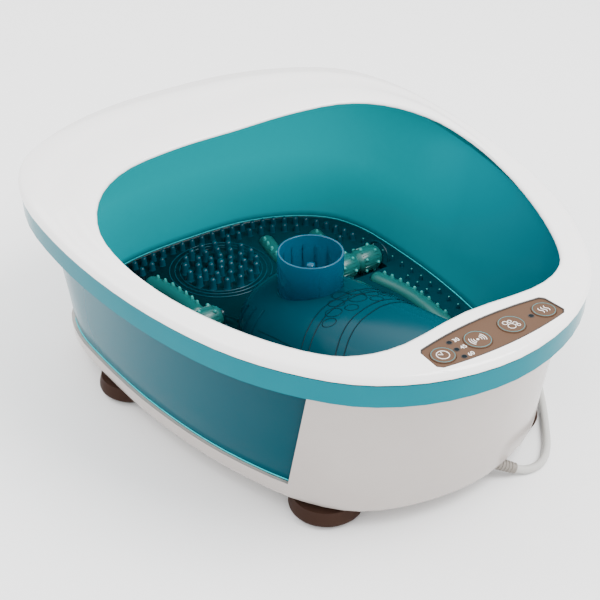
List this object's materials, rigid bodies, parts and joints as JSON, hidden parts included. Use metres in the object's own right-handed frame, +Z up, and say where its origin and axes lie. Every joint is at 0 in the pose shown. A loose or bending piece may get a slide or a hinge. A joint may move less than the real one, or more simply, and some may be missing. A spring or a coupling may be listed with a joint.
{
  "type": "foot spa basin",
  "caption": "Electric foot spa: translucent tub with massage rollers, bubble strips and a cup on a central arch, on a white base with a button panel and a mains cord.",
  "frame": {"origin": "middle of the footprint, without the cord, on the surface that the feet stand on", "axes": "+X across the basin to the user's right when facing the control panel, +Y from the control panel to the heel end, +Z up"},
  "size_m": [0.4186, 0.4226, 0.1708],
  "materials": {
    "white_shell": "glossy white moulded ABS",
    "teal_tub": "glossy translucent teal plastic",
    "tray_teal": "dark teal plastic",
    "blue_arch": "glossy translucent blue-teal plastic",
    "seal": "grey silicone gasket",
    "taupe": "satin taupe plastic",
    "board": "green circuit board",
    "lens": "dark tinted lens",
    "pale_green": "milky pale green plastic",
    "steel": "bright steel",
    "pad_rubber": "soft matt rubber",
    "grey_plastic": "grey moulded plastic",
    "hose": "milky silicone tube",
    "brass_weight": "turned brass",
    "aluminium_plate": "plain aluminium sheet",
    "black_plastic": "black plastic",
    "cord_grey": "light grey PVC cord"
  },
  "bodies": {
    "basin": {"base_shell": "white_shell", "tub": "teal_tub", "top_rim": "white_shell", "rim_seal": "seal", "arch_cover": "blue_arch", "tool_cup": "blue_arch", "control_panel": "taupe", "circuit_board": "board", "timer_led_30": "lens", "timer_led_45": "lens", "timer_led_60": "lens", "heat_led": "lens", "axle_heel_left": "steel", "axle_heel_right": "steel", "axle_toe_left": "steel", "axle_toe_right": "steel", "tray_heel_left": "tray_teal", "tray_heel_right": "tray_teal", "tray_toe_left": "tray_teal", "tray_toe_right": "tray_teal", "strip_heel_inner_left": "pale_green", "strip_heel_inner_right": "pale_green", "strip_heel_outer_left": "pale_green", "strip_heel_outer_right": "pale_green", "strip_toe_inner_left": "pale_green", "strip_toe_inner_right": "pale_green", "strip_toe_outer_left": "pale_green", "strip_toe_outer_right": "pale_green", "nub_cluster": "teal_tub", "edge_nubs": "teal_tub", "foot_front_left": "taupe", "foot_front_right": "taupe", "foot_back_left": "taupe", "foot_back_right": "taupe", "foot_pads": "pad_rubber", "base_screws": "steel", "pump_housing": "grey_plastic", "pump_motor": "steel", "air_manifold": "hose", "vibration_motor": "steel", "motor_clamp": "grey_plastic", "heater_plate": "aluminium_plate", "thermal_cutout": "black_plastic", "cord_gland": "cord_grey", "cord": "cord_grey", "cord_coil": "cord_grey", "cord_tie": "black_plastic", "plug": "cord_grey"},
    "timer_button": {"timer_button": "taupe"},
    "massage_button": {"massage_button": "taupe"},
    "bubble_button": {"bubble_button": "taupe"},
    "heat_button": {"heat_button": "taupe"},
    "roller_heel_left": {"roller_heel_left": "pale_green"},
    "roller_heel_right": {"roller_heel_right": "pale_green"},
    "roller_toe_left": {"roller_toe_left": "pale_green"},
    "roller_toe_right": {"roller_toe_right": "pale_green"},
    "pump_impeller": {"pump_impeller": "grey_plastic"},
    "eccentric_weight": {"eccentric_weight": "brass_weight"}
  },
  "joints": [
    {"name": "timer_button_press", "type": "slide", "parent": "basin", "child": "timer_button", "axis": [0, 0, -1], "range_m": [0, 0.0006], "stiffness_N_per_m": 900},
    {"name": "massage_button_press", "type": "slide", "parent": "basin", "child": "massage_button", "axis": [0, 0, -1], "range_m": [0, 0.0006], "stiffness_N_per_m": 900},
    {"name": "bubble_button_press", "type": "slide", "parent": "basin", "child": "bubble_button", "axis": [0, 0, -1], "range_m": [0, 0.0006], "stiffness_N_per_m": 900},
    {"name": "heat_button_press", "type": "slide", "parent": "basin", "child": "heat_button", "axis": [0, 0, -1], "range_m": [0, 0.0006], "stiffness_N_per_m": 900},
    {"name": "roller_heel_left_spin", "type": "hinge", "parent": "basin", "child": "roller_heel_left", "pos_m": [-0.079, 0.066, 0.035], "axis": [1, 0, 0], "continuous": true},
    {"name": "roller_heel_right_spin", "type": "hinge", "parent": "basin", "child": "roller_heel_right", "pos_m": [0.079, 0.066, 0.035], "axis": [1, 0, 0], "continuous": true},
    {"name": "roller_toe_left_spin", "type": "hinge", "parent": "basin", "child": "roller_toe_left", "pos_m": [-0.091, -0.062, 0.035], "axis": [1, 0, 0], "continuous": true},
    {"name": "roller_toe_right_spin", "type": "hinge", "parent": "basin", "child": "roller_toe_right", "pos_m": [0.091, -0.062, 0.035], "axis": [1, 0, 0], "continuous": true},
    {"name": "pump_impeller_spin", "type": "hinge", "parent": "basin", "child": "pump_impeller", "pos_m": [0, -0.092, 0.03], "axis": [0, 0, 1], "continuous": true},
    {"name": "eccentric_weight_spin", "type": "hinge", "parent": "basin", "child": "eccentric_weight", "pos_m": [0, 0.03, 0.0326], "axis": [0, 1, 0], "continuous": true}
  ]
}
